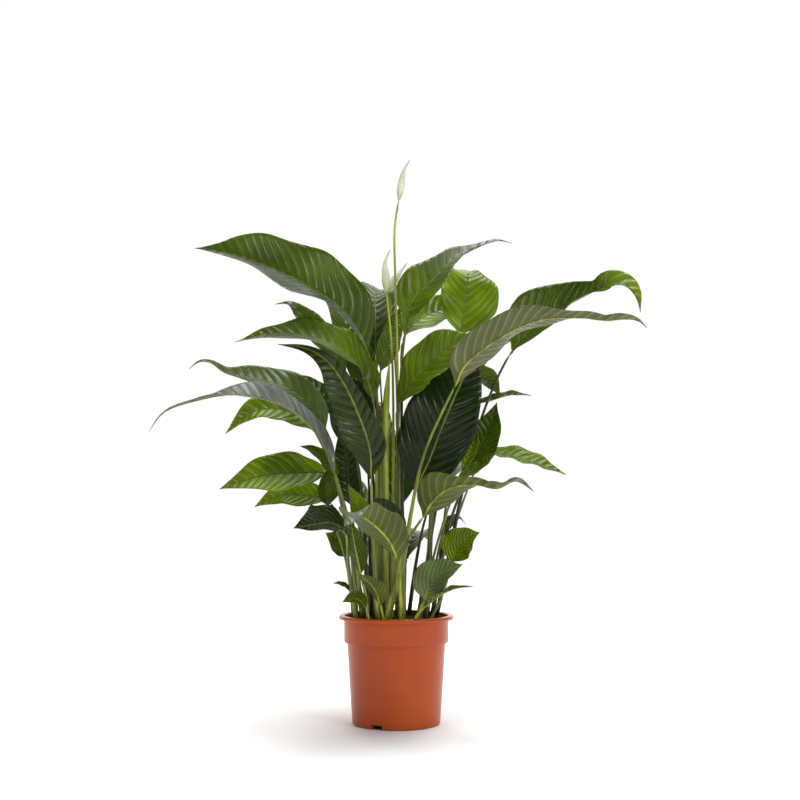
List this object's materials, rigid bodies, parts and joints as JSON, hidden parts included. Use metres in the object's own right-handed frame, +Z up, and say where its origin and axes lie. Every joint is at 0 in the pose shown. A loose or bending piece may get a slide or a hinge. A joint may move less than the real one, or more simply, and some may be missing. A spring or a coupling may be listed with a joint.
{
  "type": "potted peace lily",
  "caption": "Leafy indoor plant with long arching drip-tip leaves and slender pale flower buds, in a round tapered plastic nursery pot with a rolled rim.",
  "frame": {"origin": "middle of the pot's underside, on the surface it stands on, on the pot's axis", "axes": "+Z up along the pot's axis; -Y towards the viewer, the side with the long leaf drooping low on the left; +X to the viewer's right"},
  "size_m": [0.8917, 0.6205, 1.0283],
  "materials": {
    "terracotta_plastic": "satin",
    "potting_soil": "matte",
    "leaf": "satin",
    "flower_stalk": "satin",
    "spathe": "satin"
  },
  "bodies": {
    "root": {"pot": "terracotta_plastic", "soil": "potting_soil", "leaf_upper_left": "leaf", "leaf_upper_left_inner": "leaf", "leaf_heart_small": "leaf", "leaf_top_right": "leaf", "leaf_behind_heart": "leaf", "leaf_bright_upright": "leaf", "leaf_arched_centre": "leaf", "leaf_right_long": "leaf", "leaf_right_upper": "leaf", "leaf_right_pale": "leaf", "leaf_right_narrow": "leaf", "leaf_centre_dark": "leaf", "leaf_right_upright": "leaf", "leaf_strip_young": "leaf", "leaf_right_curl": "leaf", "leaf_right_low_bright": "leaf", "leaf_front_right": "leaf", "leaf_low_right_oval": "leaf", "leaf_low_right_broad": "leaf", "leaf_low_right_thin": "leaf", "leaf_right_hook": "leaf", "leaf_left_behind": "leaf", "leaf_left_middle": "leaf", "leaf_front_hanging": "leaf", "leaf_centre_shadow": "leaf", "leaf_left_inner": "leaf", "leaf_left_arching": "leaf", "leaf_left_shadow": "leaf", "leaf_left_longest": "leaf", "leaf_left_bright": "leaf", "leaf_left_low": "leaf", "leaf_left_lowest": "leaf", "leaf_left_small": "leaf", "leaf_left_upright": "leaf", "leaf_front_ribbed": "leaf", "leaf_low_left_bright": "leaf", "leaf_front_bowed": "leaf", "leaf_front_shadow": "leaf", "leaf_front_upright": "leaf", "leaf_left_streaked": "leaf", "leaf_front_low": "leaf", "leaf_rim_left": "leaf", "leaf_rim_left_tiny": "leaf", "leaf_back_left": "leaf", "leaf_back_right": "leaf", "leaf_back_centre_right": "leaf", "leaf_back_centre_left": "leaf", "leaf_back_upper_left": "leaf", "leaf_back_upper_right": "leaf", "leaf_back_low_left": "leaf", "leaf_back_low": "leaf", "leaf_spear_rolled": "flower_stalk", "bud_scape": "flower_stalk", "bud_spathe": "spathe", "flower_left_scape": "flower_stalk", "flower_left_spathe": "spathe", "flower_right_scape": "flower_stalk", "flower_right_spathe": "spathe"}
  },
  "joints": []
}
